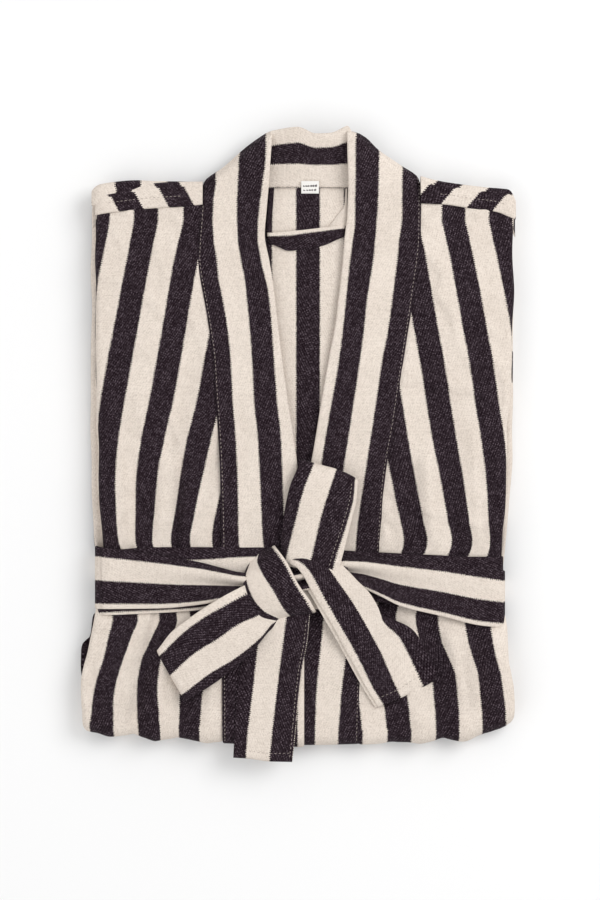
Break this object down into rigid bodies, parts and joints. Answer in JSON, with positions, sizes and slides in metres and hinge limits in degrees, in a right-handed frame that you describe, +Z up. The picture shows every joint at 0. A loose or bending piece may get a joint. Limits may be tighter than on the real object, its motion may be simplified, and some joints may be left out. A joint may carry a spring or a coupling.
{
  "type": "bathrobe",
  "caption": "Kimono bathrobe in wide black and cream stripes, folded to a flat packet and tied round with its own belt in a bow.",
  "frame": {"origin": "on the surface the packet lies on, under the middle of its overall size", "axes": "+Z up, +Y towards the collar, +X to the right of someone looking down on it with the collar at the top"},
  "size_m": [0.364, 0.5252, 0.0455],
  "materials": {
    "robe_cloth": "matte heavy linen and cotton weave in equal black and cream stripes, 20 mm each",
    "belt_cloth": "the same striped cloth, doubled, with the stripes along its length",
    "label_cloth": "smooth woven label, off-white"
  },
  "bodies": {
    "robe": {"back_panel": "robe_cloth", "front_panel_left": "robe_cloth", "front_panel_right": "robe_cloth", "collar_band_left": "robe_cloth", "collar_band_right": "robe_cloth", "collar_band_neck": "robe_cloth", "sleeve_left": "robe_cloth", "sleeve_right": "robe_cloth", "belt_turn_inner": "belt_cloth", "belt_turn_outer": "belt_cloth", "belt_knot": "belt_cloth"},
    "bow_loop_top": {"bow_loop_top": "belt_cloth"},
    "bow_loop_left": {"bow_loop_left": "belt_cloth"},
    "belt_tail_right": {"belt_tail_right": "belt_cloth"},
    "belt_tail_down": {"belt_tail_down": "belt_cloth"},
    "hanger_loop": {"hanger_loop": "robe_cloth"},
    "neck_label": {"neck_label": "label_cloth"}
  },
  "joints": [
    {"name": "bow_loop_top_lift", "type": "hinge", "parent": "robe", "child": "bow_loop_top", "pos_m": [-0.00092, -0.08788, 0.0426], "axis": [0.9397, -0.342, 0], "range_deg": [0, 80]},
    {"name": "bow_loop_left_lift", "type": "hinge", "parent": "robe", "child": "bow_loop_left", "pos_m": [-0.0381, -0.127, 0.0443], "axis": [-0.6561, 0.7547, 0], "range_deg": [0, 60]},
    {"name": "belt_tail_right_lift", "type": "hinge", "parent": "robe", "child": "belt_tail_right", "pos_m": [0.01008, -0.127, 0.0345], "axis": [-0.6947, -0.7193, 0], "range_deg": [0, 75]},
    {"name": "belt_tail_down_lift", "type": "hinge", "parent": "robe", "child": "belt_tail_down", "pos_m": [-0.015, -0.14812, 0.0319], "axis": [-0.9914, 0.1305, 0], "range_deg": [0, 60]},
    {"name": "hanger_loop_lift", "type": "hinge", "parent": "robe", "child": "hanger_loop", "pos_m": [0.0045, 0.2147, 0.0198], "axis": [-1, 0, 0], "range_deg": [0, 165]},
    {"name": "neck_label_lift", "type": "hinge", "parent": "robe", "child": "neck_label", "pos_m": [0.009, 0.22, 0.0186], "axis": [-1, 0, 0], "range_deg": [0, 150]}
  ]
}
